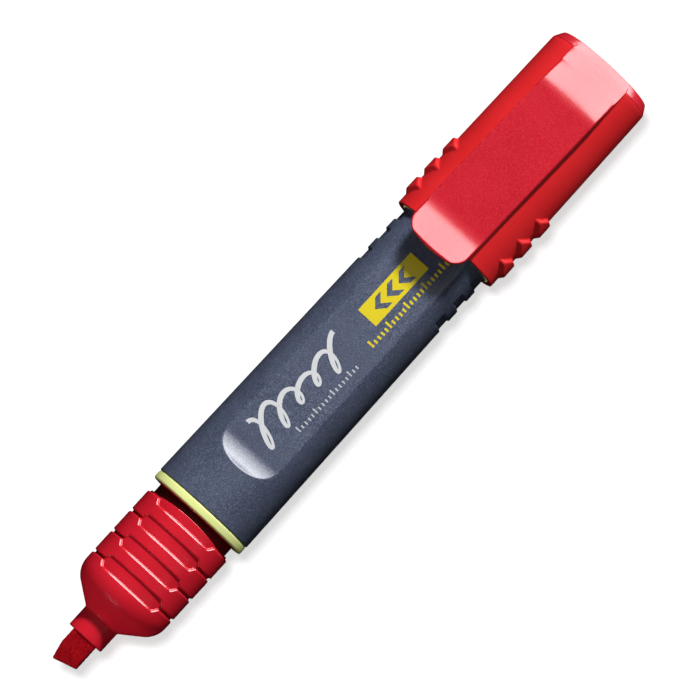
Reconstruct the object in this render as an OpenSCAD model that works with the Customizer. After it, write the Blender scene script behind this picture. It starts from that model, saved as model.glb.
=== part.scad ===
// Chisel felt tip marker lying along X: nib towards -X, clip on top, cap pushed onto the tail.
// Millimetres. The origin is under the middle of the marker, on the plane of the cap's flat back.

/* [Nib] */
// Width of the chisel nib
nib_width = 5.55; // [4.8:0.05:5.7]
// Thickness of the chisel nib
nib_thickness = 3.8; // [3.2:0.1:4.2]
// How far the nib stands out of the nozzle
nib_reach = 6.85; // [6:0.05:8]
// Slant of the nib's writing edge, in degrees
nib_slant = 14; // [10:1:25]

/* [Front section] */
// Radius of the nozzle that the cap seals on
nozzle_r = 4.0; // [3.9:0.05:4.2]
// Length of the nozzle
nozzle_length = 4.75; // [4:0.05:6]
// Radius of the grip
grip_r = 10.05; // [9.9:0.05:10.15]
// Length of the grip from the end of the dome to the front collar
grip_length = 19.7; // [19.5:0.1:22]
// Spacing of the grip's grooves
groove_pitch = 5.2; // [5:0.05:5.3]
// Depth of the grip's grooves
groove_depth = 0.5; // [0.3:0.05:0.6]
// Width of a groove at the sides
groove_side_width = 0.75; // [0.5:0.05:1]
// Width of a groove on the front and back
groove_front_width = 2.95; // [2:0.05:3.2]

/* [Collars] */
// Width of each coloured collar
collar_width = 1.9; // [1.5:0.1:2.1]
// Radius of the front collar
front_collar_r = 10.95; // [10.7:0.05:11]
// Radius of the rear collar
rear_collar_r = 10.8; // [10.6:0.05:10.85]

/* [Barrel] */
// Length of the barrel between its collars
barrel_length = 68.6; // [66:0.1:80]
// Radius of the barrel at its front end
barrel_front_r = 11.05; // [11:0.05:11.3]
// Radius of the barrel at its rear end
barrel_rear_r = 10.35; // [10.2:0.05:10.5]
// Distance from the barrel's front end to the flat panel
panel_offset = 9.9; // [9.5:0.1:12]
// Height of the panel above the axis, as a share of the barrel's radius
panel_share = 0.8; // [0.78:0.01:0.85]
// Radius of the scoop at each end of the panel
scoop_r = 6; // [4:0.5:7]
// Depth of the side notches near the tail
notch_depth = 0.4; // [0.2:0.05:0.45]

/* [Cap] */
// Length of the cap shell from its mouth to the crown
cap_length = 43.55; // [43:0.05:46]
// Outer radius of the cap shell at its mouth
cap_mouth_r = 11.93; // [11.9:0.01:12.1]
// Outer radius of the cap shell at the crown
cap_end_r = 11.52; // [11.51:0.01:11.8]
// Distance from the axis to the flat on the cap's back
cap_flat_r = 11.5; // [11.45:0.01:11.5]
// Height of the side bumps above the cap shell
bump_height = 0.75; // [0.5:0.05:1]
// Height of the crown
crown_height = 2.1; // [2:0.05:2.6]

/* [Clip] */
// Width of the clip
clip_width = 13.4; // [12:0.1:14]
// Length of the clip from its hinge to its free end
clip_length = 44.1; // [42:0.1:45]
// Height of the clip's flat top above the axis
clip_top = 13.9; // [13.85:0.05:14.4]
// Thickness of the clip
clip_thickness = 1.5; // [1.3:0.05:1.5]
// Corner radius at the clip's free end
clip_corner_r = 3.4; // [2:0.1:5]

/* [Hidden] */
$fn = 96;

cut = 0.01;          // how far a cutter runs past a face, so that no skin is left
gap = 0.03;          // gap between pieces that are pressed together
slip = 0.06;         // gap of a running fit
far = 40;            // larger than any radius, for cutters that run right out

// Stations along the axis, measured from the nib's tip
nozzle_x = nib_reach;
dome_x = nozzle_x + nozzle_length;
dome_r = 5;                               // radius of the arc that ends the dome
dome_angle = 54;                          // slope of the dome's cone
dome_root_r = nozzle_r + 0.15;
cone_top_r = grip_r - dome_r * (1 - cos(dome_angle));
cone_top_x = dome_x + (cone_top_r - dome_root_r) / tan(dome_angle);
grip_x = cone_top_x + dome_r * sin(dome_angle);
front_collar_x = grip_x + grip_length;
barrel_x = front_collar_x + collar_width;
barrel_end_x = barrel_x + barrel_length;
tail_x = barrel_end_x + collar_width;
cap_x = barrel_end_x - 0.5;               // the cap's mouth just covers the rear collar
crown_x = cap_x + cap_length;
overall_length = crown_x + crown_height;

// Front section
spigot_r = 9.55;
spigot_length = 8.5;
nib_block_end = dome_x + 4.5;
shank_r = 1.9;
shank_end = nib_block_end + 14;
cavity_x = nib_block_end + 5;
groove_count = 4;
first_groove_x = grip_x + 1.9;
groove_half_span = 6.75;                  // half width of the wide part of a groove
neck_r = grip_r - 1;
neck_length = 1.5;
neck_arc_r = 44;                          // radius of the arc that ends the grip

// Reservoir
reservoir_r = 7.2;
wrap_thickness = 0.3;
reservoir_x = cavity_x + 3;
reservoir_end = barrel_end_x - 9.5;

// Barrel
bore_r = 9.05;
bore_flat = 7.6;                          // the bore is flattened behind the two panels
plug_r = 7.7;
plug_length = 4.5;
taper = atan((barrel_front_r - barrel_rear_r) / barrel_length);
panel_x = barrel_x + panel_offset;
panel_end_x = barrel_end_x + 1.5;
panel_drop = barrel_front_r * (1 - panel_share);
scoop_run = sqrt(2 * scoop_r * panel_drop - panel_drop * panel_drop);
notch_starts = [13.4, 8.3, 3.3];          // distances from the barrel's rear end
notch_width = 2.6;
notch_half_angle = 27;

// Tail
tail_r = 10.3;
tail_length = 10.2;
tail_wall = 1.5;

// Cap
mouth_bore_r = rear_collar_r + 0.12;
mouth_bore_length = 4.2;
bead_width = 1;
cap_bore_r = 10.62;
cap_end_wall = 1.6;
bump_starts = [2.25, 7.3, 12.45];         // distances from the cap's mouth
bump_length = 4.0;
bump_half_height = 6.4;
bump_straight = 3.4;                      // half height over which a bump keeps its length
bump_slope = 0.75;                        // length of the slope at each end of a bump
boss_r = 5.2;
crown_chamfer_x = crown_x + 1.8;
crown_chamfer_r = cap_end_r - 1.05;

// Liner
liner_flange = 1.5;
liner_end = crown_x - cap_end_wall - gap;
liner_x = crown_x - 16;
liner_bore_r = nozzle_r + slip;
liner_wall = 1;

// Clip
hinge_x = crown_x - 3.5;
hinge_z = 12.2;
knuckle_r = 0.5;
ramp_length = 9.1;                        // length of the slope at the clip's root
ramp_end_z = cap_end_r - 0.2;
ramp_end_x = crown_x + 0.4;
ramp_start_x = ramp_end_x - ramp_length;
flare_length = 7.2;
flare_rise = 1.8;
hinge_gap = 0.15;
clip_x = hinge_x - clip_length;
ramp_slope = (clip_top - ramp_end_z) / ramp_length;

function barrel_r_at(x) = barrel_front_r
    - (barrel_front_r - barrel_rear_r) * (x - barrel_x) / barrel_length;
function ramp_z(x) = clip_top - ramp_slope * (x - ramp_start_x);

// Moves a piece from the nib's station line to the marker's own frame
module place() {
    translate([-overall_length / 2, 0, cap_flat_r]) children();
}

// Turns a profile of [radius, station] points about the marker's axis
module turned() {
    rotate([0, 90, 0]) rotate_extrude() children();
}

// A plain ring, or a disc when the inner radius is 0
module ring(x0, x1, outer, inner = 0) {
    turned() translate([inner, x0]) square([outer - inner, x1 - x0]);
}

// A slab across the marker between two stations and two heights
module slab(x0, x1, half_y, z0, z1) {
    translate([x0, -half_y, z0]) cube([x1 - x0, 2 * half_y, z1 - z0]);
}

// ---- nib ----

// Plan of the nib: a bar with a slanted writing edge and one small corner facet
module nib_plan() {
    half = nib_width / 2;
    facet = 0.5;
    facet_length = 3.2;
    edge_x = nib_width * tan(nib_slant);
    polygon([
        [0, facet - half], [facet_length, -half], [nib_block_end, -half],
        [nib_block_end, half], [edge_x, half]
    ]);
}

module nib() {
    bevel = 22;                           // slope of the two faces that meet at the edge
    edge = 0.7;                           // half thickness of the writing edge
    color("firebrick") place() {
        difference() {
            translate([0, 0, -nib_thickness / 2])
                mirror([0, 1, 0]) linear_extrude(nib_thickness) nib_plan();
            for (side = [0, 1]) mirror([0, 0, side])
                translate([0, 0, edge]) rotate([0, -bevel, 0])
                    translate([-far / 4, -far / 2, 0]) cube([far, far, far]);
        }
        ring(nib_block_end - cut, shank_end, shank_r);
    }
}

// ---- front section ----

// The outline of the nozzle, the dome and the grip
module section_profile() {
    polygon([
        [0, nozzle_x], [nozzle_r, nozzle_x], [nozzle_r, dome_x], [dome_root_r, dome_x],
        [cone_top_r, cone_top_x], [grip_r - dome_r, grip_x], [0, grip_x]
    ]);
    intersection() {
        translate([grip_r - dome_r, grip_x]) circle(dome_r);
        translate([0, cone_top_x - cut]) square([grip_r, grip_x - cone_top_x + cut]);
    }
    translate([0, grip_x - cut]) square([grip_r, grip_length + cut]);
    translate([0, front_collar_x - cut])
        square([spigot_r - gap, collar_width + spigot_length + cut]);
}

// One groove round the grip, wide on the front and back and narrow at the sides
module grip_groove(x) {
    floor_r = grip_r - groove_depth;
    ring(x - groove_side_width / 2, x + groove_side_width / 2, grip_r + 1, floor_r);
    intersection() {
        ring(x - groove_front_width / 2, x + groove_front_width / 2, grip_r + 1, floor_r);
        slab(x - far, x + far, groove_half_span, -far, far);
    }
}

// The recess in front of the collar: the grip ends in a flat arc, then in a thinner neck
module neck_cut() {
    last_groove_x = first_groove_x + (groove_count - 1) * groove_pitch;
    neck_x = front_collar_x - neck_length;
    ring(last_groove_x, front_collar_x, grip_r + 1, grip_r - groove_depth);
    difference() {
        ring(last_groove_x, front_collar_x, grip_r + 1, neck_r);
        translate([neck_x - neck_arc_r, 0, -far])
            cylinder(h = 2 * far, r = neck_arc_r, $fn = 720);
    }
}

module front_section() {
    color("crimson") place() difference() {
        turned() section_profile();
        for (i = [0 : groove_count - 1]) grip_groove(first_groove_x + i * groove_pitch);
        neck_cut();
        slab(nozzle_x - 1, nib_block_end + gap, nib_width / 2 + gap,
            -nib_thickness / 2 - gap, nib_thickness / 2 + gap);
        ring(nozzle_x, cavity_x + 1, shank_r + gap);
        ring(cavity_x, barrel_x + spigot_length + 1, reservoir_r + wrap_thickness + 0.1);
    }
}

// ---- collars ----

module front_collar() {
    round_r = 0.45;
    first_x = front_collar_x + gap + round_r;
    last_x = barrel_x - gap - round_r;
    color("yellowgreen") place() turned() {
        translate([spigot_r, first_x - round_r])
            square([front_collar_r - spigot_r - round_r, last_x - first_x + 2 * round_r]);
        translate([spigot_r, first_x])
            square([front_collar_r - spigot_r, last_x - first_x]);
        for (x = [first_x, last_x]) translate([front_collar_r - round_r, x]) circle(round_r);
    }
}

module rear_collar() {
    color("yellowgreen") place()
        ring(barrel_end_x + gap, tail_x - gap, rear_collar_r, plug_r);
}

// ---- barrel ----

// The space above one flat panel, with a scoop at each end
module panel_cut() {
    mid_z = panel_share * barrel_r_at(panel_x);
    translate([panel_x, 0, mid_z]) rotate([0, taper, 0]) {
        run = panel_end_x - panel_x;
        translate([scoop_run, -far / 2, 0]) cube([run - 2 * scoop_run, far, far]);
        for (x = [scoop_run, run - scoop_run]) translate([x, 0, scoop_r])
            rotate([90, 0, 0]) cylinder(h = far, r = scoop_r, center = true);
    }
}

// Shallow notches in both sides of the barrel near the tail
module side_notches() {
    half_z = barrel_rear_r * sin(notch_half_angle);
    for (start = notch_starts) intersection() {
        ring(barrel_end_x - start, barrel_end_x - start + notch_width,
            barrel_front_r + 1, barrel_rear_r - notch_depth);
        slab(barrel_x, barrel_end_x, far, -half_z, half_z);
    }
}

module barrel_bore() {
    spigot_end = barrel_x + spigot_length + gap;
    plug_x = barrel_end_x - plug_length - gap;
    ring(barrel_x - 1, spigot_end, spigot_r);
    intersection() {
        ring(spigot_end - cut, plug_x + cut, bore_r);
        slab(barrel_x, barrel_end_x, far, -bore_flat, bore_flat);
    }
    ring(plug_x, barrel_end_x + 1, plug_r);
}

module barrel() {
    color("darkslategray") place() difference() {
        turned() polygon([
            [0, barrel_x], [barrel_front_r, barrel_x],
            [barrel_rear_r, barrel_end_x], [0, barrel_end_x]
        ]);
        panel_cut();
        mirror([0, 0, 1]) panel_cut();
        side_notches();
        barrel_bore();
    }
}

// ---- ink reservoir ----

module reservoir_core() {
    color("mistyrose") place() difference() {
        ring(reservoir_x, reservoir_end, reservoir_r);
        ring(reservoir_x - 1, shank_end + gap, shank_r + gap);
    }
}

module reservoir_wrap() {
    color("lightgray") place()
        ring(reservoir_x, reservoir_end, reservoir_r + wrap_thickness, reservoir_r + gap);
}

// ---- tail plug ----

module tail_plug() {
    round_r = 2;
    color("dimgray") place() difference() {
        turned() {
            translate([0, barrel_end_x - plug_length])
                square([plug_r - gap, plug_length + collar_width + cut]);
            translate([0, tail_x]) square([tail_r, tail_length - round_r]);
            translate([0, tail_x]) square([tail_r - round_r, tail_length]);
            translate([tail_r - round_r, tail_x + tail_length - round_r]) circle(round_r);
        }
        ring(barrel_end_x - plug_length - 1, tail_x + tail_length - tail_wall,
            plug_r - tail_wall);
    }
}

// ---- cap ----

// One raised bump on each side: long in the middle, and pointed above and below
module side_bump(x) {
    outer = cap_mouth_r + bump_height;
    root = cap_mouth_r - 0.4;
    middle = x + bump_length / 2;
    tip = 0.5;                            // half length of a bump's point
    intersection() {
        turned() polygon([
            [cap_bore_r + slip, x], [root, x], [outer, x + bump_slope],
            [outer, x + bump_length - bump_slope], [root, x + bump_length],
            [cap_bore_r + slip, x + bump_length]
        ]);
        translate([0, far, 0]) rotate([90, 0, 0]) linear_extrude(2 * far) polygon([
            [x, -bump_straight], [middle - tip, -bump_half_height],
            [middle + tip, -bump_half_height], [x + bump_length, -bump_straight],
            [x + bump_length, bump_straight], [middle + tip, bump_half_height],
            [middle - tip, bump_half_height], [x, bump_straight]
        ]);
    }
}

module cap_shell() {
    bead_x = cap_x + mouth_bore_length;
    color("red") place() difference() {
        union() {
            turned() polygon([
                [0, cap_x], [cap_mouth_r, cap_x], [cap_end_r, crown_x], [0, crown_x]
            ]);
            for (start = bump_starts) side_bump(cap_x + start);
        }
        slab(cap_x - 1, crown_x + 1, far, -far, -cap_flat_r);
        ring(cap_x - 1, bead_x, mouth_bore_r);
        ring(bead_x - cut, bead_x + bead_width + cut, tail_r + slip);
        ring(bead_x + bead_width, crown_x - cap_end_wall, cap_bore_r);
        ring(crown_x - cap_end_wall - cut, crown_x + 1, boss_r);
    }
}

module cap_liner() {
    color("white") place() difference() {
        union() {
            ring(liner_x, liner_end, liner_bore_r + liner_wall);
            ring(liner_end - liner_flange, liner_end, cap_bore_r - gap);
        }
        ring(liner_x - 1, liner_end - liner_flange, liner_bore_r);
    }
}

// ---- crown and clip ----

// The crown's outline: a long chamfer and a slightly domed end
module crown_profile() {
    rim_x = crown_x + gap;
    sag = overall_length - crown_chamfer_x;
    dome = (crown_chamfer_r * crown_chamfer_r + sag * sag) / (2 * sag);
    polygon([
        [0, rim_x], [cap_end_r - 0.05, rim_x], [crown_chamfer_r, crown_chamfer_x],
        [0, crown_chamfer_x]
    ]);
    intersection() {
        translate([0, overall_length - dome]) circle(dome, $fn = 720);
        translate([0, crown_chamfer_x - cut]) square([crown_chamfer_r, sag + cut]);
    }
    translate([0, crown_x - cap_end_wall]) square([boss_r - gap, cap_end_wall + 1]);
}

// The fixed root of the clip: it lies on the cap shell and blends into the crown's edge
module clip_root() {
    front_x = hinge_x + hinge_gap;
    back_x = crown_chamfer_x;
    back_r = crown_chamfer_r + 0.02;
    intersection() {
        translate([0, clip_width / 2, 0]) rotate([90, 0, 0]) linear_extrude(clip_width)
            polygon([
                [front_x, 0], [front_x, ramp_z(front_x)], [ramp_end_x, ramp_end_z],
                [back_x, back_r], [back_x, 0]
            ]);
        difference() {
            turned() polygon([
                [0, front_x - 1], [clip_top + 3, front_x - 1], [clip_top - 0.2, crown_x],
                [back_r, back_x], [0, back_x]
            ]);
            ring(front_x - 2, crown_x + gap, cap_end_r + gap);
        }
    }
}

module crown() {
    color("tomato") place() difference() {
        union() {
            turned() crown_profile();
            clip_root();
        }
        translate([hinge_x, 0, hinge_z]) rotate([90, 0, 0])
            cylinder(h = far, r = knuckle_r + slip, center = true);
    }
}

// The clip seen from the side: a slope at the root, a flat top and a flared free end
module clip_side() {
    under = clip_top - clip_thickness;
    root_x = hinge_x - hinge_gap;
    neck = 0.3;
    polygon([
        [clip_x, clip_top + flare_rise - clip_thickness], [clip_x, clip_top + flare_rise],
        [clip_x + flare_length, clip_top], [ramp_start_x, clip_top],
        [root_x, ramp_z(root_x)], [root_x, hinge_z + neck], [hinge_x, hinge_z + neck],
        [hinge_x, hinge_z - neck], [root_x - 0.6, hinge_z - neck],
        [ramp_start_x, under], [clip_x + flare_length, under]
    ]);
}

// The clip seen from above: straight sides and rounded free corners
module clip_plan() {
    half = clip_width / 2;
    translate([clip_x + clip_corner_r, -half]) square([clip_length + 2, clip_width]);
    translate([clip_x, clip_corner_r - half])
        square([clip_corner_r + cut, clip_width - 2 * clip_corner_r]);
    for (side = [-1, 1])
        translate([clip_x + clip_corner_r, side * (half - clip_corner_r)])
            circle(clip_corner_r);
}

module clip() {
    color("red") place() {
        intersection() {
            translate([0, clip_width / 2, 0]) rotate([90, 0, 0])
                linear_extrude(clip_width) clip_side();
            linear_extrude(far) clip_plan();
        }
        translate([hinge_x, 0, hinge_z]) rotate([90, 0, 0])
            cylinder(h = clip_width, r = knuckle_r, center = true);
    }
}

nib();
front_section();
front_collar();
barrel();
reservoir_core();
reservoir_wrap();
rear_collar();
tail_plug();
cap_shell();
cap_liner();
crown();
clip();
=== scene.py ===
"""The look of a chisel felt tip marker, built around its CAD frame. Lengths inside the builders
are millimetres from the nib's tip along the axis; put() turns them into the frame's metres."""
import math

import bmesh
import bpy
import numpy as np
from mathutils import Matrix, Vector


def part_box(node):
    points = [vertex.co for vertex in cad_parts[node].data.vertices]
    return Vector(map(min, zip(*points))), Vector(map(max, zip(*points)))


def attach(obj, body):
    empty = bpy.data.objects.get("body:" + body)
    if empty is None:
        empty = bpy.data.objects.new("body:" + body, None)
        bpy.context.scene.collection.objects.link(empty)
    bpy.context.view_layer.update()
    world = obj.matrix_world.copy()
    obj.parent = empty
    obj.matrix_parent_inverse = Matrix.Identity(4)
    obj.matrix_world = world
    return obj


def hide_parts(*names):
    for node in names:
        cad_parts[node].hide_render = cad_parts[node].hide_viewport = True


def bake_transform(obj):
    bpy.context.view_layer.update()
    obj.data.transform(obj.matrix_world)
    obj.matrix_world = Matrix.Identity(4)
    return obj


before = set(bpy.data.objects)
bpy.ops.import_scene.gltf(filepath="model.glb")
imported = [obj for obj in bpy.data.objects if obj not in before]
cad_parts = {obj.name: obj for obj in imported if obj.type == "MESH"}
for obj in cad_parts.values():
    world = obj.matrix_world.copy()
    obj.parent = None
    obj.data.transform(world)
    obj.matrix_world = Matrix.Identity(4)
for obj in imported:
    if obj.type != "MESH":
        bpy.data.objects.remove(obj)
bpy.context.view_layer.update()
MM = 0.001
TURN = 2 * math.pi
NOSE_SIDES, BARREL_SIDES, CAP_SIDES = 288, 360, 360

TIP_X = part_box("nib")[0][0]
AXIS_Z = (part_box("barrel")[0][2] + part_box("barrel")[1][2]) / 2


def local_box(node):
    """A node's lowest and highest corners in millimetres, from the nib's tip and the axis."""
    low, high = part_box(node)
    shift = (TIP_X, 0, AXIS_Z)
    return [[(c - s) / MM for c, s in zip(corner, shift)] for corner in (low, high)]


NIB, SECTION, COLLAR = local_box("nib"), local_box("front_section"), local_box("front_collar")
BARREL, REAR_COLLAR = local_box("barrel"), local_box("rear_collar")
TAIL, CAP, LINER = local_box("tail_plug"), local_box("cap_shell"), local_box("cap_liner")
CROWN, CLIP = local_box("crown"), local_box("clip")

# Nose: a nozzle, a dome and a grooved grip
NOZZLE_X, NOZZLE_R, NOZZLE_LENGTH = SECTION[0][0], 4.0, 4.75
NOZZLE_BORE_R, NOSE_HOLLOW_R, SPIGOT_R = 2.9, 7.8, 9.5
GRIP_R = SECTION[1][1]
DOME_R, DOME_SLOPE = 5.0, math.radians(54)
DOME_X, DOME_FOOT_R = NOZZLE_X + NOZZLE_LENGTH, NOZZLE_R + 0.15
CONE_R = GRIP_R - DOME_R * (1 - math.cos(DOME_SLOPE))
CONE_X = DOME_X + (CONE_R - DOME_FOOT_R) / math.tan(DOME_SLOPE)
GRIP_X = CONE_X + DOME_R * math.sin(DOME_SLOPE)
GROOVES, GROOVE_PITCH, GROOVE_DEPTH = 4, 5.2, 0.5
GROOVE_XS = [GRIP_X + 1.9 + i * GROOVE_PITCH for i in range(GROOVES)]
GROOVE_FRONT_HALF, GROOVE_SIDE_HALF, GROOVE_FRONT_REACH = 1.45, 0.36, 6.35
NECK_R, NECK_LENGTH, NECK_ARC = GRIP_R - 1.0, 1.5, 44

# The edges of a groove, nearer the nib and further from it, as (step along the axis, depth)
NEAR_EDGE = ((-0.26, 0), (-0.19, 0), (-0.16, 0.012), (-0.08, 0.06), (0, 0.11), (0.05, 0.14),
             (0.08, 0.22), (0.13, 0.42), (0.17, 0.48), (0.23, 0.5), (0.28, 0.5), (0.45, 0.5))
FAR_EDGE = ((-0.2, 0.5), (-0.14, 0.48), (-0.1, 0.42), (-0.06, 0.3), (-0.02, 0.18), (0.02, 0.08),
            (0.08, 0.02), (0.16, 0), (0.22, 0))

# Barrel: two scooped panels, and notches in both sides near the tail
BARREL_X, BARREL_END = BARREL[0][0], BARREL[1][0]
BARREL_R, BARREL_REAR_R = BARREL[1][1], 10.35
BARREL_BORE_R, BARREL_BORE_FLAT, PLUG_BORE_R, SOCKET_R = 9.05, 7.6, 7.75, 9.6
PANEL_SHARE, PANEL_OFFSET, PANEL_TAIL, SCOOP_R = 0.8, 9.8, -1.5, 6.0
NOTCH_STARTS, NOTCH_WIDTH, NOTCH_DEPTH, NOTCH_HALF = (13.4, 8.3, 3.3), 2.6, 0.4, 4.7
TAIL_R, TAIL_ROUND, TAIL_DISH_R = 10.28, 2.0, 4.7

# Cap: side bumps, a bead inside its mouth, and a hole in its end wall for the liner's boss
CAP_X, CAP_END = CAP[0][0], CAP[1][0]
CAP_MOUTH_R, CAP_END_R, CAP_BORE_R, CAP_MOUTH_BORE_R = 11.93, 11.52, 10.66, 10.93
CAP_FLAT = AXIS_Z / MM
CAP_WALL, BOSS_R, BEAD_R = 1.6, 5.3, 10.4
BUMP_STARTS, BUMP_LENGTH, BUMP_HEIGHT, BUMP_REACH = (2.25, 7.3, 12.45), 4.0, 0.74, 6.4
LINER_BORE_R, LINER_R = 4.06, 5.06

# Crown and clip
CROWN_EDGE_X, CROWN_EDGE_R = CAP_END + 1.8, CAP_END_R - 1.05
CROWN_CHAMFER = (CAP_END_R - CROWN_EDGE_R) / (CROWN_EDGE_X - CAP_END)
HINGE_X, HINGE_Z = CLIP[1][0] - 0.5, 12.2
CLIP_RISE, CLIP_LEAN, CLIP_BOW, ROOT_R = 1.8, 0.6, 0.35, 12.2
CLIP_X, CLIP_HALF, CLIP_TOP = CLIP[0][0], CLIP[1][1], CLIP[1][2] - CLIP_RISE
CLIP_THICK, CLIP_CORNER, CLIP_LIP, FLARE = 1.45, 3.4, 0.6, 7.2
RAMP_START, RAMP_END, RAMP_FOOT = CAP_END - 8.7, CAP_END + 0.4, CAP_END_R - 0.06
RAMP_SLOPE = (CLIP_TOP - RAMP_FOOT) / (RAMP_END - RAMP_START)
RAMP_EASE, FLARE_EASE = 1.7, 1.7


# ---------- helpers for numbers and meshes ----------

def smooth(t):
    """An eased step from 0 to 1."""
    t = np.clip(t, 0, 1)
    return t * t * (3 - 2 * t)


def soft_min(a, b, k):
    """The smaller of a and b, with the corner between them rounded over k."""
    h = np.clip(0.5 + 0.5 * (b - a) / k, 0, 1)
    return b * (1 - h) + a * h - k * h * (1 - h)


def steps(start, end, size):
    """Even stations from start to end, about size apart."""
    return list(np.linspace(start, end, max(2, int(round(abs(end - start) / size)) + 1)))


def arc(cx, cr, radius, start, end, count=6):
    """Points (x, r) on an arc about (cx, cr); angles in degrees, 0 along +x, 90 outwards."""
    return [(cx + radius * math.cos(math.radians(a)), cr + radius * math.sin(math.radians(a)))
            for a in np.linspace(start, end, count)]


def put(points):
    """Millimetres from the nib's tip and the axis, as the frame's metres."""
    points = np.asarray(points, float) * MM
    return points + np.array([TIP_X, 0, AXIS_Z])


def new_piece(name, verts, faces, material, body, nodes=(), flat=False):
    """Makes a mesh object, with its normals outwards, that rides on a body."""
    mesh = bpy.data.meshes.new(name)
    mesh.from_pydata([tuple(v) for v in verts], [], faces)
    bm = bmesh.new()
    bm.from_mesh(mesh)
    bmesh.ops.remove_doubles(bm, verts=bm.verts, dist=1e-7)
    bmesh.ops.recalc_face_normals(bm, faces=bm.faces)
    bm.to_mesh(mesh)
    bm.free()
    for polygon in mesh.polygons:
        polygon.use_smooth = not flat
    piece = bpy.data.objects.new(name, mesh)
    bpy.context.scene.collection.objects.link(piece)
    piece.data.materials.append(material)
    if body:
        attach(piece, body)
    if nodes:
        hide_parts(*nodes)
    return piece


def skin(rings, closed=False):
    """Vertices and faces that join rings of equal counts; open ends are closed with a fan."""
    count = len(rings[0])
    verts = list(np.concatenate(rings))
    faces = []
    last = len(rings) if closed else len(rings) - 1
    for i in range(last):
        a, b = i * count, ((i + 1) % len(rings)) * count
        for j in range(count):
            k = (j + 1) % count
            faces.append((a + j, a + k, b + k, b + j))
    if not closed:
        for start in (0, (len(rings) - 1) * count):
            verts.append(np.mean(verts[start:start + count], axis=0))
            centre = len(verts) - 1
            faces += [(start + j, start + (j + 1) % count, centre) for j in range(count)]
    return put(verts), faces


def angles(count):
    """Even angles round the axis; 0 is up, towards the clip."""
    return np.arange(count) * TURN / count


def turn_ring(x, r, theta):
    """One ring about the axis; x and r may vary with theta."""
    x = np.broadcast_to(x, theta.shape)
    return np.stack([x, r * np.sin(theta), r * np.cos(theta)], axis=1)


def round_rings(profile, theta):
    """Rings about the axis from (x, r) points."""
    return [turn_ring(x, r, theta) for x, r in profile]


def turned(profile, count=160, closed=False):
    """A skin turned about the axis from (x, r) points."""
    return skin(round_rings(profile, angles(count)), closed)


# ---------- materials ----------

def linear(rgb):
    """An sRGB colour, 0 to 255, as a linear one."""
    channels = [c / 255 for c in rgb]
    return tuple(c / 12.92 if c <= 0.04045 else ((c + 0.055) / 1.055) ** 2.4
                 for c in channels) + (1,)


class Nodes:
    """A material's node tree, with short ways to add and join nodes."""

    def __init__(self, name):
        self.material = bpy.data.materials.new(name)
        self.material.use_nodes = True
        self.tree = self.material.node_tree
        self.shader = self.tree.nodes["Principled BSDF"]
        self.place = self.add("ShaderNodeTexCoord").outputs["Object"]

    def add(self, kind, **settings):
        """A new node, with some of its settings."""
        node = self.tree.nodes.new(kind)
        for key, value in settings.items():
            setattr(node, key, value)
        return node

    def join(self, source, target):
        """Links an output to an input."""
        self.tree.links.new(source, target)

    def noise(self, size_mm, detail=3, stretch=(1, 1, 1)):
        """Noise with features about size_mm across; stretch scales it along each axis."""
        scaled = self.add("ShaderNodeVectorMath", operation="MULTIPLY")
        self.join(self.place, scaled.inputs[0])
        scaled.inputs[1].default_value = [s / (size_mm * MM) for s in stretch]
        noise = self.add("ShaderNodeTexNoise")
        self.join(scaled.outputs[0], noise.inputs["Vector"])
        noise.inputs["Scale"].default_value = 1
        noise.inputs["Detail"].default_value = detail
        return noise.outputs["Fac"]

    def ramp(self, fac, *stops):
        """Colours along a factor, from (position, colour) stops."""
        ramp = self.add("ShaderNodeValToRGB")
        elements = ramp.color_ramp.elements
        for i, (at, colour) in enumerate(stops):
            element = elements[i] if i < 2 else elements.new(at)
            element.position, element.color = at, colour
        self.join(fac, ramp.inputs["Fac"])
        return ramp.outputs["Color"]

    def span(self, fac, low, high, to_low, to_high):
        """A factor's range stretched to another range."""
        node = self.add("ShaderNodeMapRange")
        self.join(fac, node.inputs["Value"])
        for key, value in (("From Min", low), ("From Max", high),
                           ("To Min", to_low), ("To Max", to_high)):
            node.inputs[key].default_value = value
        return node.outputs["Result"]

    def mix(self, fac, a, b):
        """Two colours mixed; each of the three is a value or an output."""
        node = self.add("ShaderNodeMix", data_type="RGBA")
        for socket, value in ((node.inputs[0], fac), (node.inputs[6], a), (node.inputs[7], b)):
            if hasattr(value, "is_linked"):
                self.join(value, socket)
            else:
                socket.default_value = value
        return node.outputs[2]

    def bumps(self, *layers):
        """Chains bumps of (height, strength, depth in millimetres) onto the shader's normal."""
        normal = None
        for height, strength, depth in layers:
            bump = self.add("ShaderNodeBump")
            bump.inputs["Strength"].default_value = strength
            bump.inputs["Distance"].default_value = depth * MM
            self.join(height, bump.inputs["Height"])
            if normal:
                self.join(normal, bump.inputs["Normal"])
            normal = bump.outputs["Normal"]
        self.join(normal, self.shader.inputs["Normal"])


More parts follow.
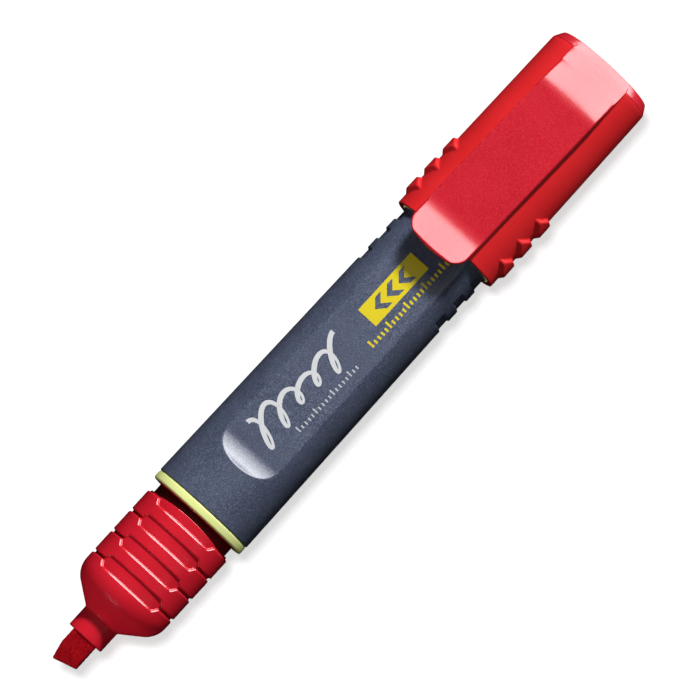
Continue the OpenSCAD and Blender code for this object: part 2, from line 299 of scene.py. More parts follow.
def plastic(name, rgb, dark, worn, rough=(0.35, 0.45), grain=0.35, depth=0.02, speckle=0.0,
            specular=0.5, ior=1.5):
    """Moulded plastic: slow colour drift, fine grain, and paler rubbed edges."""
    m = Nodes(name)
    drift = m.ramp(m.noise(9, 4), (0.3, linear(dark)), (0.7, linear(rgb)))
    fine = m.noise(grain, 2)
    if speckle:
        flecks = m.span(fine, 0.45, 0.7, 0, speckle)
        drift = m.mix(flecks, drift, linear(worn))
    edge = m.span(m.add("ShaderNodeNewGeometry").outputs["Pointiness"], 0.55, 0.68, 0, 0.3)
    scuffs = m.span(m.noise(1.2, 5), 0.45, 0.65, 0, 1)
    wear = m.add("ShaderNodeMath", operation="MULTIPLY")
    m.join(edge, wear.inputs[0])
    m.join(scuffs, wear.inputs[1])
    m.join(m.mix(wear.outputs[0], drift, linear(worn)), m.shader.inputs["Base Color"])
    m.join(m.span(m.noise(0.9, 5), 0.3, 0.7, *rough), m.shader.inputs["Roughness"])
    m.shader.inputs["Specular IOR Level"].default_value = specular
    m.shader.inputs["IOR"].default_value = ior
    m.bumps((fine, 0.35, depth), (m.noise(6, 2), 0.05, 0.02))
    return m.material


def felt(name, rgb, dark, streaks=(0.25, 1, 1)):
    """Pressed fibres soaked in ink: streaky, rough and slightly fuzzy."""
    m = Nodes(name)
    fibres = m.noise(0.16, 6, streaks)
    colour = m.ramp(fibres, (0.33, linear(dark)), (0.66, linear(rgb)))
    blotch = m.span(m.noise(1.6, 3), 0.35, 0.7, 0, 0.3)
    m.join(m.mix(blotch, colour, linear(dark)), m.shader.inputs["Base Color"])
    m.join(m.span(fibres, 0.3, 0.7, 0.6, 0.95), m.shader.inputs["Roughness"])
    m.shader.inputs["Specular IOR Level"].default_value = 0.15
    m.bumps((fibres, 0.9, 0.12), (m.noise(0.7, 3), 0.5, 0.1))
    return m.material


def print_ink(name, rgb, worn, rough=0.5):
    """Printed ink: nearly even, with tiny pinholes and a slightly uneven gloss."""
    m = Nodes(name)
    speck = m.span(m.noise(0.12, 2), 0.62, 0.75, 0, 0.55)
    m.join(m.mix(speck, linear(rgb), linear(worn)), m.shader.inputs["Base Color"])
    m.join(m.span(m.noise(0.8, 3), 0.3, 0.7, rough - 0.1, rough + 0.1),
           m.shader.inputs["Roughness"])
    m.bumps((m.noise(0.3, 2), 0.2, 0.01))
    return m.material


RED = plastic("cap_red", (212, 38, 42), (205, 32, 36), (236, 96, 98), (0.33, 0.37),
              grain=0.3, depth=0.008, specular=0.45)
CLIP_RED = plastic("clip_red", (189, 24, 42), (179, 19, 36), (226, 90, 94), (0.205, 0.225),
                   grain=0.22, depth=0.036, speckle=0.16, specular=1.0)
GRIP_RED = plastic("grip_red", (196, 27, 44), (187, 21, 37), (236, 100, 104), (0.19, 0.22),
                   grain=0.22, depth=0.008, specular=1.0, ior=1.62)
# Painted shade: the neck's much darker red stands in for the shadow that the collar casts on it.
NECK_SHADE_RED = plastic("neck_red", (100, 4, 12), (88, 3, 9), (140, 30, 36), (0.5, 0.6),
                   grain=0.22, depth=0.012, specular=0.15)
CHARCOAL = plastic("barrel_charcoal", (58, 65, 84), (48, 55, 73), (126, 134, 156),
                   (0.31, 0.35), grain=0.22, depth=0.014, speckle=0.5, specular=1.0,
                   ior=1.6)
LIME = plastic("collar_lime", (220, 226, 150), (208, 217, 130), (244, 247, 200), (0.35, 0.5))
PLUG = plastic("plug_charcoal", (48, 52, 62), (38, 41, 50), (110, 115, 128), (0.4, 0.5))
NATURAL = plastic("liner_natural", (226, 222, 212), (214, 208, 196), (245, 243, 238),
                  (0.35, 0.5))
FILM = plastic("wrap_film", (214, 216, 220), (200, 202, 208), (240, 240, 244), (0.15, 0.25))
FELT = felt("nib_felt", (172, 16, 26), (92, 4, 10))
FIBRE = felt("reservoir_fibre", (170, 40, 52), (120, 14, 24), (0.05, 1, 1))
WHITE_INK = print_ink("ink_white", (180, 181, 183), (120, 126, 138))
GREY_INK = print_ink("ink_grey", (160, 163, 168), (100, 106, 116))
YELLOW_INK = print_ink("ink_yellow", (191, 173, 24), (140, 130, 40))


# ---------- the front: nib, section, collar ----------

def build_nib():
    """A chisel nib: a rounded bar whose two faces slope to a slanted writing edge."""
    half, thick = NIB[1][1], NIB[1][2]
    slant, bevel, edge_half = math.tan(math.radians(13)), math.tan(math.radians(22)), 0.72
    end, squareness = NOZZLE_X + 3, 9
    theta = angles(96)
    y = np.sign(np.sin(theta)) * np.abs(np.sin(theta)) ** (2 / squareness)
    z = np.sign(np.cos(theta)) * np.abs(np.cos(theta)) ** (2 / squareness)
    rings = []
    for s in [0.0, 0.02, 0.08, 0.2] + steps(0.4, end, 0.16):
        x = s + (half - half * y) * slant * (1 - s / end)
        tall = np.minimum(thick, edge_half + x * bevel)
        wide = np.where(y > 0, half - np.maximum(0, 0.75 - 0.21 * x), half)
        rounded = 1 - 0.10 * (1 - smooth(s / 0.2))
        waver = 1 + 0.012 * np.sin(5 * theta + 3 * s) * np.sin(2.3 * s + theta)
        rings.append(np.stack([x, y * wide * rounded * waver, z * tall * rounded], axis=1))
    verts, faces = skin(rings)
    new_piece("nib_felt_tip", verts, faces, FELT, "marker", ["nib"])


def dome_profile():
    """The nozzle and the dome, as (x, r) points from the nozzle's bore to the grip."""
    lip, inner_lip = 0.25, 0.15
    points = [(NOZZLE_X + 2.5, NOZZLE_BORE_R), (NOZZLE_X + 0.3, NOZZLE_BORE_R + 0.05)]
    points += arc(NOZZLE_X + inner_lip, NOZZLE_BORE_R + 0.2, inner_lip, 270, 180, 4)
    points += arc(NOZZLE_X + lip, NOZZLE_R - lip, lip, 180, 90, 6)
    points += [(x, NOZZLE_R) for x in steps(NOZZLE_X + 0.6, DOME_X - 0.5, 0.4)]
    points += [(DOME_X - 0.25, NOZZLE_R + 0.01), (DOME_X - 0.08, NOZZLE_R + 0.06),
               (DOME_X + 0.06, DOME_FOOT_R + 0.07)]
    points += [(DOME_X + (CONE_X - DOME_X) * t, DOME_FOOT_R + (CONE_R - DOME_FOOT_R) * t)
               for t in np.linspace(0.12, 0.96, 10)]
    return points + arc(GRIP_X, GRIP_R - DOME_R, DOME_R, 90 + math.degrees(DOME_SLOPE), 90, 20)


def groove_half(theta):
    """Half the width of a groove: wide on the front and back, narrow at the sides."""
    side = np.abs(GRIP_R * np.sin(theta))
    wide = 1 - smooth((side - GROOVE_FRONT_REACH) / 1.0)
    return GROOVE_SIDE_HALF + (GROOVE_FRONT_HALF - GROOVE_SIDE_HALF) * wide


def groove_rings(theta):
    """The grip from the dome to the middle of its last groove."""
    rings = []
    half = groove_half(theta)
    edge = GRIP_X + 0.05
    for middle in GROOVE_XS:
        start = middle - half - 0.4
        rings += [turn_ring(edge + (start - edge) * t, GRIP_R, theta) for t in (0.33, 0.66)]
        rings += [turn_ring(middle - half + dx, GRIP_R - depth, theta) for dx, depth in NEAR_EDGE]
        rings.append(turn_ring(middle, GRIP_R - GROOVE_DEPTH, theta))
        if middle < GROOVE_XS[-1]:
            rings += [turn_ring(middle + half + dx, GRIP_R - depth, theta)
                      for dx, depth in FAR_EDGE]
            edge = middle + half + 0.3
    return rings


def grip_end(theta):
    """Where the grip stops in front of the collar: a bowed edge."""
    bow = NECK_ARC - np.sqrt(NECK_ARC ** 2 - (GRIP_R * np.sin(theta)) ** 2)
    return np.maximum(COLLAR[0][0] - NECK_LENGTH - bow, GROOVE_XS[-1] - groove_half(theta) + 0.3)


def build_neck():
    """The step between the grip's bowed edge and the collar, in a darker red that paints in the
    shadow the collar casts on it.
    """
    theta = angles(NOSE_SIDES)
    end, brink = COLLAR[0][0], grip_end(theta)
    rings = [turn_ring(brink - 0.1, NECK_R - 0.2, theta)]
    rings += [turn_ring(brink + dx, NECK_R, theta) for dx in (-0.1, 0.4)]
    rings += [turn_ring(end, NECK_R - d, theta) for d in (0, 0.2)]
    verts, faces = skin(rings, closed=True)
    new_piece("nose_neck", verts, faces, NECK_SHADE_RED, "marker", ["front_section"])


def build_section():
    """The nose: its nozzle, dome and grooved grip, and the spigot that fills the barrel's end."""
    theta = angles(NOSE_SIDES)
    rings = round_rings(dome_profile(), theta) + groove_rings(theta)
    floor_r, middle, brink = GRIP_R - GROOVE_DEPTH, GROOVE_XS[-1], grip_end(theta)
    for t in (0.3, 0.6, 0.9):
        rings.append(turn_ring(middle + (brink - 0.15 - middle) * t, floor_r, theta))
    for dx, dr in ((-0.1, 0), (-0.02, 0), (0, 0.05), (0.01, 0.3), (0.02, 0.6)):
        rings.append(turn_ring(brink + dx, floor_r - dr, theta))
    end, spigot, hollow = COLLAR[0][0], SECTION[1][0], NOZZLE_X + 14.5
    rings += round_rings([(end - 0.2, NECK_R - 0.3), (end, SPIGOT_R), (spigot - 0.3, SPIGOT_R),
                          (spigot, SPIGOT_R - 0.3), (spigot, NOSE_HOLLOW_R),
                          (hollow, NOSE_HOLLOW_R), (hollow, NOZZLE_BORE_R)], theta)
    verts, faces = skin(rings, closed=True)
    new_piece("nose_section", verts, faces, GRIP_RED, "marker",
              ["front_section"])


def build_collar(name, box, outer, inner, node, skirt=0):
    """A thin bright ring with rounded edges; a skirt may reach forwards over the barrel."""
    x0, x1 = box[0][0], box[1][0]
    lip, edge = 0.42, 0.2
    profile = [(x0, inner)]
    if skirt:
        profile += [(x0, outer - 0.4), (x0 - skirt, outer - 0.4)]
        profile += arc(x0 - skirt + edge, outer - edge, edge, 180, 90, 5)
    else:
        profile += arc(x0 + lip, outer - lip, lip, 180, 90, 7)
    profile += arc(x1 - lip, outer - lip, lip, 90, 0, 7) + [(x1, inner)]
    verts, faces = turned(profile, closed=True)
    new_piece(name, verts, faces, LIME, "marker", [node])


# ---------- the barrel ----------

def barrel_r(x):
    """The barrel's round radius: a slight taper towards the tail."""
    return BARREL_R + (BARREL_REAR_R - BARREL_R) * (x - BARREL_X) / (BARREL_END - BARREL_X)


def panel_height(x):
    """Height of the flat panel's surface above the axis; far above it outside the panel."""
    start, end = BARREL_X + PANEL_OFFSET, BARREL_END - PANEL_TAIL
    drop = BARREL_R * (1 - PANEL_SHARE)
    run = math.sqrt(2 * SCOOP_R * drop - drop ** 2)
    over = max(start + run - x, x - (end - run), 0)
    rise = SCOOP_R - math.sqrt(SCOOP_R ** 2 - over ** 2) if over < run else drop + over - run
    return PANEL_SHARE * barrel_r(x) + rise


def notch_cut(x, theta, radius):
    """How deep the side notches cut at a station."""
    z = np.abs(radius * np.cos(theta))
    side = 1 - smooth((z - NOTCH_HALF + 0.2) / 0.5)
    cut = 0
    for start in NOTCH_STARTS:
        x0 = BARREL_END - start
        here = smooth((x - x0 + 0.12) / 0.3) * (1 - smooth((x - x0 - NOTCH_WIDTH + 0.18) / 0.3))
        cut = max(cut, float(here))
    return cut * side * NOTCH_DEPTH


def barrel_shape(x, radius, theta):
    """Carves the two panels and the side notches into a barrel ring."""
    rise = np.maximum(np.abs(np.cos(theta)), 0.05)
    radius = soft_min(radius, panel_height(x) / rise, 0.14)
    return radius - notch_cut(x, theta, radius)


def barrel_inside(theta):
    """The barrel's end, its bore with two flats, and the socket for the front section."""
    plug_end, socket_end = BARREL_END - 4.6, BARREL_X + 8.6
    rise = np.maximum(np.abs(np.cos(theta)), 0.05)
    bore = np.minimum(BARREL_BORE_R, BARREL_BORE_FLAT / rise)
    rings = round_rings([(BARREL_END, PLUG_BORE_R), (plug_end, PLUG_BORE_R)], theta)
    rings += round_rings([(plug_end, bore), (socket_end, bore), (socket_end, SOCKET_R)], theta)
    return rings


def build_barrel():
    """The barrel: a rounded front edge, finer stations at the scoops and notches, and its bore."""
    lip = 0.3
    theta = angles(BARREL_SIDES)
    panel_x, notch_x = BARREL_X + PANEL_OFFSET, BARREL_END - 15
    xs = [BARREL_X + lip] + steps(BARREL_X + 1, panel_x - 1, 0.6)
    xs += steps(panel_x - 0.9, panel_x + 7, 0.14) + steps(panel_x + 7.3, notch_x - 0.2, 0.6)
    xs += steps(notch_x, BARREL_END - 0.4, 0.09) + [BARREL_END - 0.2]
    edge = [(BARREL_X, SOCKET_R)] + arc(BARREL_X + lip, BARREL_R - lip, lip, 180, 95, 6)
    rings = round_rings(edge, theta)
    rings += round_rings([(x, barrel_shape(x, barrel_r(x), theta)) for x in xs], theta)
    tip = barrel_shape(BARREL_END, BARREL_REAR_R, theta)
    rings += round_rings([(BARREL_END - 0.06, tip - 0.06), (BARREL_END, tip - 0.2)], theta)
    verts, faces = skin(rings + barrel_inside(theta), closed=True)
    new_piece("barrel_tube", verts, faces, CHARCOAL, "marker", ["barrel"])


# ---------- printed graphics on the panel ----------

def label_solid(name, shapes, material, above=0.025):
    """Thin printed shapes: each entry is a ring of (x, y) points, laid on the front panel."""
    verts, faces = [], []
    below = -0.05
    for ring in shapes:
        base, n = len(verts), len(ring)
        for lift in (below, above):
            verts += [(x, y, panel_height(x) + lift) for x, y in ring]
        faces.append(tuple(range(base, base + n)))
        faces.append(tuple(range(base + n, base + 2 * n)))
        faces += [(base + i, base + (i + 1) % n, base + n + (i + 1) % n, base + n + i)
                  for i in range(n)]
    new_piece(name, put(verts), faces, material, "marker", flat=True)


def stroke_solid(name, points, widths, material):
    """One continuous printed stroke, as a closed ribbon."""
    points = np.asarray(points, float)
    along = np.gradient(points, axis=0)
    along /= np.linalg.norm(along, axis=1)[:, None]
    across = np.stack([-along[:, 1], along[:, 0]], axis=1) * np.asarray(widths)[:, None] / 2
    rings = []
    for p, a, climb in zip(points, across, np.linspace(0, 0.012, len(points))):
        top = panel_height(p[0]) + 0.02 + climb
        rings.append(np.array([[*(p + a), top], [*(p - a), top],
                               [*(p - a), top - 0.06], [*(p + a), top - 0.06]]))
    verts, faces = skin(rings)
    new_piece(name, verts, faces, material, "marker", flat=True)


def ticks(start, end, pitch, low, short, tall, width):
    """A row of plain upright ticks, every fifth one tall."""
    shapes = []
    for i, x in enumerate(np.arange(start, end, pitch)):
        top = low + (tall if i % 5 == 0 else short)
        shapes.append([(x, low), (x + width, low), (x + width, top), (x, top)])
    return shapes


def chevron(x, y, reach, half, thick):
    """A bold arrowhead that points at the nib."""
    return [(x, y), (x + reach, y + half), (x + reach + thick, y + half),
            (x + thick, y), (x + reach + thick, y - half), (x + reach, y - half)]


def build_scribble(start, length):
    """A looping scribble whose loops swell and shrink."""
    loops, height, middle = 5, 3.5, 0.95
    t = np.linspace(0, 1, 420)
    swing = TURN * loops * t
    reach = height * (0.72 + 0.28 * np.cos(math.pi * (t * 2 - 0.2)))
    x = start + length * t + 1.5 * np.sin(swing) + 0.4 * reach * np.cos(swing)
    y = middle + reach * np.cos(swing) - 0.3 * t
    widths = 0.78 + 0.26 * np.cos(swing + 0.8)
    stroke_solid("print_scribble", np.stack([x, y], axis=1), widths, WHITE_INK)


def build_graphics():
    """A looping scribble, a yellow block with plain arrowheads, and rows of ticks."""
    start, length = BARREL_X + 16.0, 23.6
    build_scribble(start, length)
    label_solid("print_ticks_white", ticks(start + 6.6, start + length - 0.3, 0.95, -4.4, 0.75,
                                           1.3, 0.3), GREY_INK)
    block_x = BARREL_X + 47.1
    block_end, low, high = block_x + 14.8, -1.43, 3.17
    outline = [(block_x, low), (block_end, low), (block_end, high), (block_x, high)]
    label_solid("print_block", [outline], YELLOW_INK)
    middle, pitch = (low + high) / 2, 3.3
    arrows = [chevron(block_x + 2.3 + pitch * i, middle, 1.7, 1.55, 1.5) for i in range(3)]
    label_solid("print_arrows", arrows, CHARCOAL, 0.05)
    label_solid("print_ticks_yellow", ticks(block_x - 3.4, block_end + 3, 1.0, -3.8, 0.9,
                                            1.6, 0.42), YELLOW_INK)


# ---------- the tail and the cap ----------

def build_tail():
    """The plug that closes the barrel and carries the cap."""
    x0, x1 = REAR_COLLAR[1][0] + 0.03, TAIL[1][0]
    lip = 0.25
    profile = [(BARREL_END - 4, BARREL_BORE_FLAT), (x0, BARREL_BORE_FLAT), (x0, TAIL_R - lip)]
    profile += arc(x0 + lip, TAIL_R - lip, lip, 180, 90, 5)[1:]
    profile += [(x, TAIL_R) for x in steps(x0 + 0.6, x1 - TAIL_ROUND - 0.4, 0.8)]
    profile += arc(x1 - TAIL_ROUND, TAIL_R - TAIL_ROUND, TAIL_ROUND, 90, 0, 10)
    profile += [(x1 - 0.02, TAIL_DISH_R + 0.3), (x1 - 0.2, TAIL_DISH_R), (x1 - 0.25, 1.2),
                (x1 - 0.3, 0.4)]
    verts, faces = turned(profile)
    new_piece("tail_plug_skin", verts, faces, PLUG, "marker", ["tail_plug"])


def cap_r(x):
    """The cap's round radius: a slight taper towards its closed end."""
    return CAP_MOUTH_R + (CAP_END_R - CAP_MOUTH_R) * (x - CAP_X) / (CAP_END - CAP_X)


def bump_rise(x, theta, radius):
    """Three cut-stone bumps on each side, each coming to a point towards front and back."""
    z = np.abs(radius * np.cos(theta))
    half = BUMP_LENGTH / 2
    rise = np.zeros_like(theta)
    for start in BUMP_STARTS:
        middle = CAP_X + start + half
        taper = 0.62 * np.maximum(z - 3.2, 0)
        run = 0.42 if x > middle else 0.9
        ends = (half + 0.08 - abs(x - middle) - taper) / run
        tips = (BUMP_REACH - z) / 1.3
        rise = np.maximum(rise, np.clip(soft_min(np.minimum(ends, tips), 1.0, 0.12), 0, 1))
    return rise * BUMP_HEIGHT * (np.abs(np.sin(theta)) > 0.5)


def cap_shape(x, radius, theta):
    """Adds the bumps and the narrow flat on the back to a cap ring."""
    radius = radius + bump_rise(x, theta, radius)
    back = np.cos(theta) < -0.5
    down = np.where(back, -np.cos(theta), 0.01)
    return np.where(back, soft_min(radius, CAP_FLAT / down, 0.02), radius)


def cap_inside():
    """The cap's inside, as (x, r) points from its end to the edge of its mouth."""
    wall, bead = CAP_END - CAP_WALL, CAP_X + 4.4
    return [(CAP_END - 0.05, CAP_END_R - 0.06), (CAP_END, CAP_END_R - 0.2), (CAP_END, BOSS_R),
            (wall, BOSS_R), (wall, CAP_BORE_R), (bead + 1.0, CAP_BORE_R), (bead + 0.8, BEAD_R),
            (bead, BEAD_R), (bead - 0.2, CAP_MOUTH_BORE_R), (CAP_X + 0.5, CAP_MOUTH_BORE_R),
            (CAP_X + 0.15, CAP_MOUTH_BORE_R + 0.1), (CAP_X, CAP_MOUTH_BORE_R + 0.28)]


def build_cap():
    """The cap's shell: a thin rounded mouth, bumps, and an inner wall."""
    lip = 0.22
    theta = angles(CAP_SIDES)
    bumps_end = CAP_X + 17
    xs = steps(CAP_X + lip + 0.1, CAP_X + 2, 0.3) + steps(CAP_X + 2.1, bumps_end, 0.11)
    xs += steps(bumps_end + 0.5, CAP_END - 0.2, 0.8)
    outside = arc(CAP_X + lip, CAP_MOUTH_R - lip, lip, 180, 100, 6) + [(x, cap_r(x)) for x in xs]
    rings = [turn_ring(x, cap_shape(x, r, theta), theta) for x, r in outside]
    verts, faces = skin(rings + round_rings(cap_inside(), theta), closed=True)
    new_piece("cap_shell_skin", verts, faces, RED, "cap", ["cap_shell"])


def build_liner():
    """The soft inner sleeve that seals on the nozzle."""
    x0, x1 = LINER[0][0], LINER[1][0]
    flange, flange_r = x1 - 1.5, LINER[1][1]
    profile = [(x0 + 0.5, LINER_BORE_R)] + arc(x0 + 0.3, 4.45, 0.3, 230, 130, 6)
    profile += [(x0 + 0.6, LINER_R)] + [(x, LINER_R) for x in steps(x0 + 1, x1 - 2, 1.5)]
    profile += [(flange - 0.1, LINER_R + 0.15), (flange, LINER_R + 0.4), (flange, flange_r - 0.2),
                (flange + 0.2, flange_r), (x1 - 0.1, flange_r), (x1, flange_r - 0.15), (x1, 0.4),
                (flange + 0.1, 0.4), (flange, LINER_BORE_R - 0.1)]
    verts, faces = turned(profile, closed=True)
    new_piece("liner_sleeve", verts, faces, NATURAL, "cap", ["cap_liner"])


def crown_profile():
    """The crown from its seam to the middle of its end, as (x, r) points."""
    rim, end, rim_r = CAP_END + 0.03, CROWN[1][0], CAP_END_R - 0.05
    edge_x, edge_r = CROWN_EDGE_X, CROWN_EDGE_R
    points = [(rim, 5.0), (rim, rim_r - 0.06), (rim + 0.04, rim_r - 0.03)]
    for t in np.linspace(0.06, 0.93, 9):
        swell = 0.096 * t * (1 - t)
        points.append((rim + (edge_x - rim) * t, rim_r + (edge_r - rim_r) * t + swell))
    points += [(edge_x - 0.04, edge_r + 0.01), (edge_x + 0.02, edge_r - 0.06),
               (edge_x + 0.05, edge_r - 0.16)]
    for t in np.linspace(0.9, 0.0, 7):
        points.append((end - (end - edge_x - 0.05) * t ** 2, max(edge_r * t, 0.3)))
    return points


def build_crown():
    """The crown: a chamfered disc that closes the cap."""
    verts, faces = turned(crown_profile(), count=200)
    new_piece("crown_end", verts, faces, CLIP_RED, "cap", ["crown"])


def eased(over, ease):
    """Zero before 0 and over after it, with the bend between them rounded over ease."""
    return (over + ease) ** 2 / (4 * ease) if abs(over) < ease else max(over, 0)


def clip_top(x):
    """Height of the clip's top: a flared free end, a flat, and a slope down to the crown."""
    top = CLIP_TOP + eased(CLIP_X + FLARE - x, FLARE_EASE) * CLIP_RISE / FLARE
    top -= RAMP_SLOPE * eased(x - RAMP_START, RAMP_EASE)
    sunk = 0.2 * smooth((x - CAP_END - 0.6) / 0.8)
    crown = CAP_END_R - (x - CAP_END) * CROWN_CHAMFER + 0.1 - sunk
    return soft_min(top, crown, 0.45)


def clip_bottom(x, top):
    """Height of the clip's underside, which turns down into the crown at the root."""
    bottom = top - CLIP_THICK
    if x > RAMP_START:
        bottom = max(bottom, CAP_END_R + 0.12)
    if x > CAP_END:
        bottom = top - 0.5 - 1.5 * (x - CAP_END)
    return min(bottom, top - 0.4)


def clip_stations():
    """Stations along the clip: x, height of the top and the underside, and half width."""
    xs = [CLIP_X + d for d in (0, 0.03, 0.08, 0.15, 0.25, 0.38, 0.52, 0.7, 0.9)]
    xs += steps(CLIP_X + 1.2, CROWN_EDGE_X - 0.06, 0.3)
    rows = []
    for x in xs:
        near = max(0, CLIP_CORNER - (x - CLIP_X))
        half = CLIP_HALF - CLIP_CORNER + math.sqrt(max(CLIP_CORNER ** 2 - near ** 2, 0.01))
        inset = max(0, CLIP_LIP - (x - CLIP_X))
        pinch = CLIP_LIP - math.sqrt(CLIP_LIP ** 2 - inset ** 2)
        top = clip_top(x)
        rows.append((x, top - pinch, clip_bottom(x, top) + pinch * 0.8, half))
    return rows


def clip_ring(x, top, bottom, half):
    """A rounded-rectangle cross section: curved down to the crown's round edge at the root,
    and bowed at the free end, which leans a little to one side."""
    lip = min(0.4, (top - bottom) * 0.35)
    across = (0.93, 0.75, 0.5, 0.25, 0, -0.25, -0.5, -0.75, -0.93)
    points = []
    for cy, cz, start in ((half - lip, top - lip, 90), (half - lip, bottom + lip, 0),
                          (-half + lip, bottom + lip, -90), (-half + lip, top - lip, -180)):
        if start == 90:
            points += [(x, -(half - lip) * t, top) for t in across]
        if start == -90:
            points += [(x, (half - lip) * t, bottom) for t in across]
        for a in np.radians(np.linspace(start, start - 90, 6)):
            points.append((x, cy + lip * math.cos(a), cz + lip * math.sin(a)))
    points = np.array(points)
    camber = smooth((x - RAMP_START) / (CAP_END - RAMP_START)) / ROOT_R
    camber += (1 / top - 1 / ROOT_R) * smooth((x - CAP_END) / 0.5)
    if camber > 0.0001:
        points[:, 2] -= 1 / camber - np.sqrt(1 / camber ** 2 - points[:, 1] ** 2)
    points[:, 0] += CLIP_BOW * (points[:, 1] / half) ** 2 * (1 - smooth((x - CLIP_X) / 6))
    points[:, 1] += CLIP_LEAN * smooth((RAMP_START - x) / (RAMP_START - CLIP_X) + 0.15)
    return points


def close_root(rings):
    """Ends a clip skin inside the crown."""
    for dx, dz in ((0.05, -0.3), (-0.15, -0.7), (-0.6, -0.8)):
        ring = rings[-1].copy()
        ring[:, 0] += dx
        ring[:, 2] += dz
        rings.append(ring)
    return rings


def build_clip():
    """The clip: one smooth skin that runs from its free end across the hinge into the crown."""
    rings = close_root([clip_ring(*row) for row in clip_stations()])
    verts, faces = skin(rings)
    piece = new_piece("clip_arm", verts, faces, CLIP_RED, None, ["clip"])
    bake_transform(piece)


def build_clip_root():
    """The crown's own skin over the fixed end of the clip's slope."""
    start = HINGE_X - 0.6
    rings = []
    for x, top, bottom, half in clip_stations():
        if x > start:
            lift = 0.012 - 0.03 * (1 - smooth((x - start) / 1.2))
            rings.append(clip_ring(x, top + lift, bottom, half + lift))
    verts, faces = skin(close_root(rings))
    new_piece("crown_root", verts, faces, CLIP_RED, "cap")


def dress_inner_nodes():
    """Gives the CAD pieces that stay hidden inside their own materials."""
    for node, material in (("reservoir_core", FIBRE), ("reservoir_wrap", FILM)):
        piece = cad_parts[node]
        piece.data.materials.clear()
        piece.data.materials.append(material)


# ---------- floor, lights, camera ----------

# Metres from the marker's middle to the lamps and panels
LAMP_DISTANCE = 1.4

# Panels seen in reflections: zone, lowest and highest elevation in degrees, width, radiance
GLOSS_PANELS = (("nose", -16, 62, 2.2, 6.5),
                ("barrel", -15, 20, 0.9, 9.0),
                ("barrel", 20, 45, 0.9, 5.5),
                ("barrel", 45, 66, 0.9, 3.0),
                ("cap", -16, 62, 1.2, 5.0),
                ("clip", -16, 62, 1.5, 5.8),
                ("crown", -16, 62, 3.2, 5.8))

# Lamps that reflections do not show: zones, direction, size, power
LAMPS = (("nib", (0.1, 0.15, 0.97), 0.4, 22),
         ("nose", (0.72, 0.09, 0.67), 0.12, 34),
         ("nose", (-0.9, 0.15, 0.25), 0.5, 11),
         ("nose", (0.1, -0.8, 0.6), 0.5, 2),
         ("barrel", (0.68, 0.17, 0.71), 0.26, 34),
         ("barrel", (-0.4, 0, 0.9), 0.5, 4.5),
         ("cap clip crown", (0.72, 0.05, 0.67), 0.06, 28.5),
         ("cap clip crown", (0.1, -0.72, 0.7), 0.6, 2),
         ("cap clip crown", (0, 0.9, 0.44), 0.6, 6),
         ("crown", (0.3, -0.75, 0.6), 0.5, 4))


def build_floor():
    """A plain pale floor that the marker lies on."""
    mesh = bpy.data.meshes.new("floor")
    half = 1.5
    mesh.from_pydata([(-half, -half, 0), (half, -half, 0), (half, half, 0), (-half, half, 0)],
                     [], [(0, 1, 2, 3)])
    floor = bpy.data.objects.new("floor", mesh)
    bpy.context.scene.collection.objects.link(floor)
    m = Nodes("floor_white")
    m.shader.inputs["Base Color"].default_value = (0.93, 0.93, 0.93, 1)
    m.shader.inputs["Roughness"].default_value = 0.9
    m.shader.inputs["Specular IOR Level"].default_value = 0.0
    floor.data.materials.append(m.material)
    floor.visible_diffuse = False
    floor.visible_glossy = False
    floor.visible_shadow = False
    return floor


def add_area(name, direction, distance, size, power, lit):
    """A soft light that looks at the marker's middle, and lights one collection."""
    light = bpy.data.lights.new(name, "AREA")
    light.shape, light.energy = "RECTANGLE", power
    light.size, light.size_y = size
    lamp = bpy.data.objects.new(name, light)
    bpy.context.scene.collection.objects.link(lamp)
    back = Vector(direction).normalized()
    across = Vector((0, 1, 0)).cross(back).cross(back).normalized()
    turn = Matrix((across, back.cross(across), back)).transposed().to_4x4()
    lamp.matrix_world = Matrix.Translation(Vector((0, 0, AXIS_Z)) + back * distance) @ turn
    lamp.light_linking.receiver_collection = lit
    lamp.visible_glossy = False
    return lamp


def add_gloss(name, low, high, width, radiance, lit):
    """A panel seen only in reflections, from one elevation to another above the cap's end."""
    middle, half = (low + high) / 2, (high - low) / 2
    height = 2 * LAMP_DISTANCE * math.tan(half)
    panel = add_area("gloss_" + name, (math.cos(middle), 0, math.sin(middle)), LAMP_DISTANCE,
                     (width, height), math.pi * width * height * radiance, lit)
    panel.visible_diffuse = False
    panel.visible_glossy = True


def light_groups(floor):
    """Collections that lamps are linked to: one for each zone of the marker."""
    groups = {name: bpy.data.collections.new("lit_" + name)
              for name in ("nib", "nose", "barrel", "cap", "clip", "crown", "rim", "floor")}
    groups["floor"].objects.link(floor)
    pieces = [o for o in bpy.context.scene.objects if o.type == "MESH" and o != floor]
    for piece in pieces:
        kind = piece.name.split("_")[0]
        kind = "barrel" if kind == "print" else kind
        groups[kind if kind in groups else "cap"].objects.link(piece)
    groups["rim"].objects.link(bpy.data.objects["collar_rear"])
    return groups


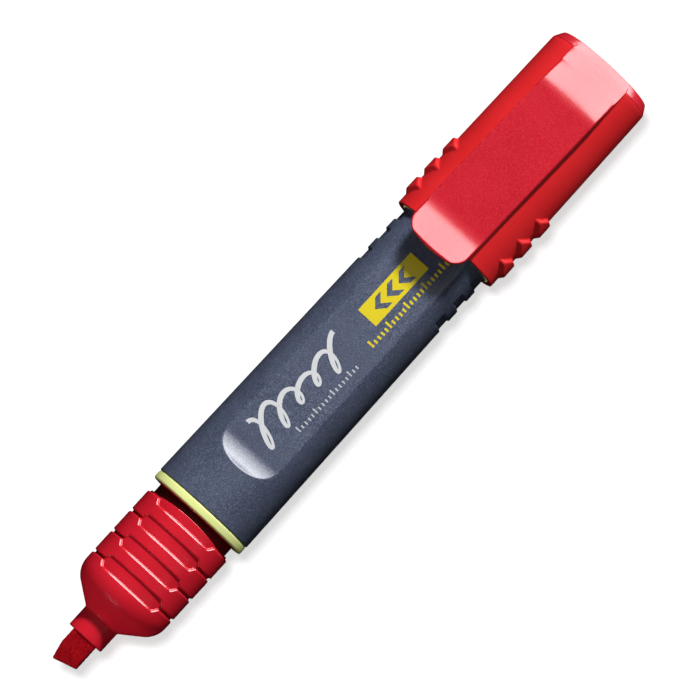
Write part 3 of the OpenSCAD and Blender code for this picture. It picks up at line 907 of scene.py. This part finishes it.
def build_lights(floor):
    """Raking light along the marker, and separate soft light that keeps the floor white."""
    groups = light_groups(floor)
    rim = add_area("light_rim", (-0.5, 0, 0.86), LAMP_DISTANCE, (0.3, 0.3), 12, groups["rim"])
    rim.data.use_shadow = False
    for zone, low, high, width, radiance in GLOSS_PANELS:
        add_gloss(zone, math.radians(low), math.radians(high), width, radiance, groups[zone])
    for zones, direction, size, power in LAMPS:
        for zone in zones.split():
            add_area("light_" + zone, direction, LAMP_DISTANCE, (size, size), power, groups[zone])
    above = 1.6
    add_area("floor_key", (0, 0.12, 1), above, (0.3, 0.24), 12, groups["floor"])
    wash = add_area("floor_fill", (0, 0, 1), above, (0.6, 0.6), 18, groups["floor"])
    wash.data.use_shadow = False


def build_world():
    """A faint even glow that reflections do not show."""
    world = bpy.data.worlds.new("studio")
    world.use_nodes = True
    bpy.context.scene.world = world
    background = world.node_tree.nodes["Background"]
    background.inputs["Color"].default_value = (1, 1, 1, 1)
    background.inputs["Strength"].default_value = 0.09
    world.cycles_visibility.glossy = False
    bpy.context.scene.view_settings.view_transform = "Standard"


def build_camera():
    """Almost straight down, turned so that the marker runs up to the right."""
    elevation, distance, width = math.radians(84.5), 1.2, 0.133
    up = Vector((0.740, 0.673, 0)).normalized()
    aim = Vector(put([(81.1, -0.27, 0)])[0])
    back = Vector((-up.x * math.cos(elevation), -up.y * math.cos(elevation),
                   math.sin(elevation)))
    right = up.cross(back).normalized()
    true_up = back.cross(right).normalized()
    data = bpy.data.cameras.new("camera")
    data.lens = data.sensor_width * distance / width
    camera = bpy.data.objects.new("camera", data)
    bpy.context.scene.collection.objects.link(camera)
    turn = Matrix((right, true_up, back)).transposed().to_4x4()
    camera.matrix_world = Matrix.Translation(aim + back * distance) @ turn
    data.clip_end = 10
    bpy.context.scene.camera = camera


build_camera()
build_nib()
build_neck()
build_section()
build_collar("collar_front", COLLAR, COLLAR[1][1], SOCKET_R, "front_collar")
build_barrel()
build_graphics()
build_collar("collar_rear", REAR_COLLAR, REAR_COLLAR[1][1], PLUG_BORE_R, "rear_collar", 0.42)
build_tail()
build_cap()
build_liner()
build_crown()
build_clip()
build_clip_root()
dress_inner_nodes()
build_lights(build_floor())
build_world()
